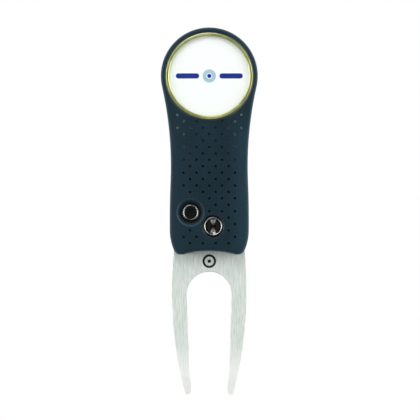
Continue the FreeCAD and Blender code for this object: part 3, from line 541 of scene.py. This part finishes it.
def bar(curve, left, right, z, half):
    """A level bar whose ends are each one round Bezier arc."""
    first, second, third, fourth = closed_spline(curve)
    ends = ((left + half, -1, first, second), (right - half, 1, third, fourth))
    for x, side, start, stop in ends:
        outward = Vector((side * half * 4 / 3, 0, 0))
        inward = Vector((-side * half, 0, 0))
        start.co = (x, z - side * half, 0)
        start.handle_left = start.co + inward
        start.handle_right = start.co + outward
        stop.co = (x, z + side * half, 0)
        stop.handle_left = stop.co + outward
        stop.handle_right = stop.co + inward


def printed(name, level, thickness, material, body, draw):
    """A thin printed mark that stands upright with its back at y = level."""
    curve = bpy.data.curves.new(name, "CURVE")
    curve.dimensions = "2D"
    curve.fill_mode = "BOTH"
    curve.resolution_u = 24
    curve.extrude = thickness / 2
    draw(curve)
    drawn = bpy.data.objects.new(name + "_curve", curve)
    mesh = bpy.data.meshes.new_from_object(drawn)
    mesh.name = name
    bpy.data.objects.remove(drawn)
    for vertex in mesh.vertices:
        x, z, depth = vertex.co
        vertex.co = (x, level - thickness / 2 - depth, z)
    mesh.materials.append(material)
    piece = bpy.data.objects.new(name, mesh)
    scene.collection.objects.link(piece)
    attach(piece, body)


def add_fork_mark():
    """A dot in a ring on the fork."""
    black = ink("black_ink", (0.003, 0.003, 0.003), (0.012, 0.013, 0.012))

    def dot_in_ring(curve):
        for radius in (FORK_RING_RADIUS, FORK_RING_RADIUS - FORK_RING_LINE, FORK_DOT_RADIUS):
            circle(curve, FORK_MARK_HEIGHT, radius)

    fork_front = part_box("fork")[0].y
    printed("fork_mark", fork_front, FORK_INK, black, "fork", dot_in_ring)


def add_aim_marks():
    """An aiming line and a ring on the ball marker's white disc, with a dot in the middle."""
    blue = ink("blue_ink", (0.001, 0.018, 0.27), (0.004, 0.030, 0.33))
    pale_blue = ink("pale_blue_ink", (0.38, 0.56, 0.68), (0.50, 0.66, 0.76))
    middle = centre_of("marker_insert").z
    bar_start = AIM_RING_RADIUS + AIM_BAR_GAP

    def line_and_dot(curve):
        bar(curve, -AIM_BAR_END, -bar_start, middle, AIM_BAR_HALF)
        bar(curve, bar_start, AIM_BAR_END, middle, AIM_BAR_HALF)
        circle(curve, middle, AIM_DOT_RADIUS)

    def ring(curve):
        circle(curve, middle, AIM_RING_RADIUS)
        circle(curve, middle, AIM_RING_RADIUS - AIM_RING_LINE)

    disc_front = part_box("marker_insert")[0].y
    for name, material, draw in (("aim_line", blue, line_and_dot), ("aim_ring", pale_blue, ring)):
        printed(name, disc_front, AIM_INK, material, "ball_marker", draw)


# ---- Studio ----

def tent_ends(sky, x, z):
    """The tent's front and back: dark, but for a bright wedge above the middle and one below,
    each dimmer down its own middle."""
    dark, bright, slope = 0.022, 0.5, 1.9
    aside = sky.product(sky.math("ABSOLUTE", x), slope)
    beyond = sky.math("SUBTRACT", sky.math("ABSOLUTE", z), aside)
    wedge = sky.spread(beyond, (dark, bright), over=(0, 0.12))
    return sky.product(wedge, sky.spread(aside, (0.35, 1), over=(0.04, 0.16)))


def tent_walls(sky, x, depth, z):
    """The tent all round: bright, most of all towards its front and back, a little brighter on
    the right and dimmer low down. Mirrors see less of it straight above and below."""
    ends = sky.spread(depth, (0.6, 1.75), over=(0.08, 0.45))
    right = sky.spread(x, (0.9, 1.18), over=(-0.6, 0.6))
    low = sky.spread(z, (0.7, 1), over=(-0.7, -0.2))
    mirrored = sky.add("ShaderNodeLightPath").outputs["Is Glossy Ray"]
    loss = sky.product(mirrored, sky.spread(sky.math("ABSOLUTE", z), (0, 0.65), over=(0.4, 0.8)))
    return sky.product(ends, right, low, sky.math("SUBTRACT", 1.0, loss))


def build_world():
    """White behind the object, and for what it reflects a light tent, dimmed at the lens."""
    world = bpy.data.worlds.new("studio")
    scene.world = world
    world.use_nodes = True
    world.node_tree.nodes.clear()
    sky = Nodes(world.node_tree)
    direction = sky.add("ShaderNodeTexCoord").outputs["Generated"]
    x, y, z = sky.add("ShaderNodeSeparateXYZ", {0: direction}).outputs
    depth = sky.math("ABSOLUTE", y)
    end = sky.spread(depth, (0, 1), over=(0.62, 0.78))
    tent = sky.add("ShaderNodeMix", {
        0: end, 2: tent_walls(sky, x, depth, z), 3: tent_ends(sky, x, z)}).outputs[0]
    lens = sky.spread(sky.math("MULTIPLY", y, -1.0), (1, 0.5), over=(0.955, 0.985))
    reflected = sky.add("ShaderNodeBackground", {
        "Color": (0.97, 1.0, 0.985, 1), "Strength": sky.product(tent, lens)})
    seen = sky.add("ShaderNodeBackground", {"Color": (1, 1, 1, 1)})
    to_camera = sky.add("ShaderNodeLightPath").outputs["Is Camera Ray"]
    mix = sky.add("ShaderNodeMixShader", {
        0: to_camera, 1: reflected.outputs[0], 2: seen.outputs[0]})
    sky.add("ShaderNodeOutputWorld", {"Surface": mix.outputs[0]})


def add_lamp(name, spot, width, watts):
    """A square soft box at spot, turned towards the object's middle."""
    lamp = bpy.data.lights.new(name, "AREA")
    lamp.shape = "SQUARE"
    lamp.size = width
    lamp.energy = watts
    holder = bpy.data.objects.new(name, lamp)
    holder.location = spot
    holder.rotation_euler = (cad_middle - Vector(spot)).to_track_quat("-Z", "Y").to_euler()
    scene.collection.objects.link(holder)


def add_floor():
    """A plain pale table top, just below the prong tips."""
    level = cad_low.z - FLOOR_DROP
    corners = [(x * FLOOR_HALF, y * FLOOR_HALF, level)
               for x, y in ((-1, -1), (1, -1), (1, 1), (-1, 1))]
    mesh = bpy.data.meshes.new("floor")
    mesh.from_pydata(corners, [], [(0, 1, 2, 3)])
    paint = Paint("floor", Roughness=0.7, Specular_IOR_Level=0.2)
    grey = paint.tones(paint.noise(60 * MM), (0.520, 0.530, 0.530), (0.530, 0.540, 0.540))
    paint.feed(paint.shader, "Base Color", grey)
    mesh.materials.append(paint.material)
    floor = bpy.data.objects.new("floor", mesh)
    floor.visible_glossy = False
    scene.collection.objects.link(floor)


def add_camera():
    """Straight in front, without perspective. The view's middle is a little above and to the
    right of the object's."""
    camera = bpy.data.cameras.new("camera")
    camera.type = "ORTHO"
    camera.ortho_scale = VIEW_WIDTH
    holder = bpy.data.objects.new("camera", camera)
    holder.location = (cad_middle.x + VIEW_RIGHT, -CAMERA_DISTANCE, cad_middle.z + VIEW_UP)
    holder.rotation_euler = (math.radians(90), 0, 0)
    scene.collection.objects.link(holder)
    scene.camera = holder


def build_studio():
    build_world()
    for lamp in LAMPS:
        add_lamp(*lamp)
    add_floor()
    add_camera()
    scene.view_settings.view_transform = "Standard"
    scene.view_settings.look = "None"


dress_cad_parts()
add_fork_mark()
add_aim_marks()
build_studio()
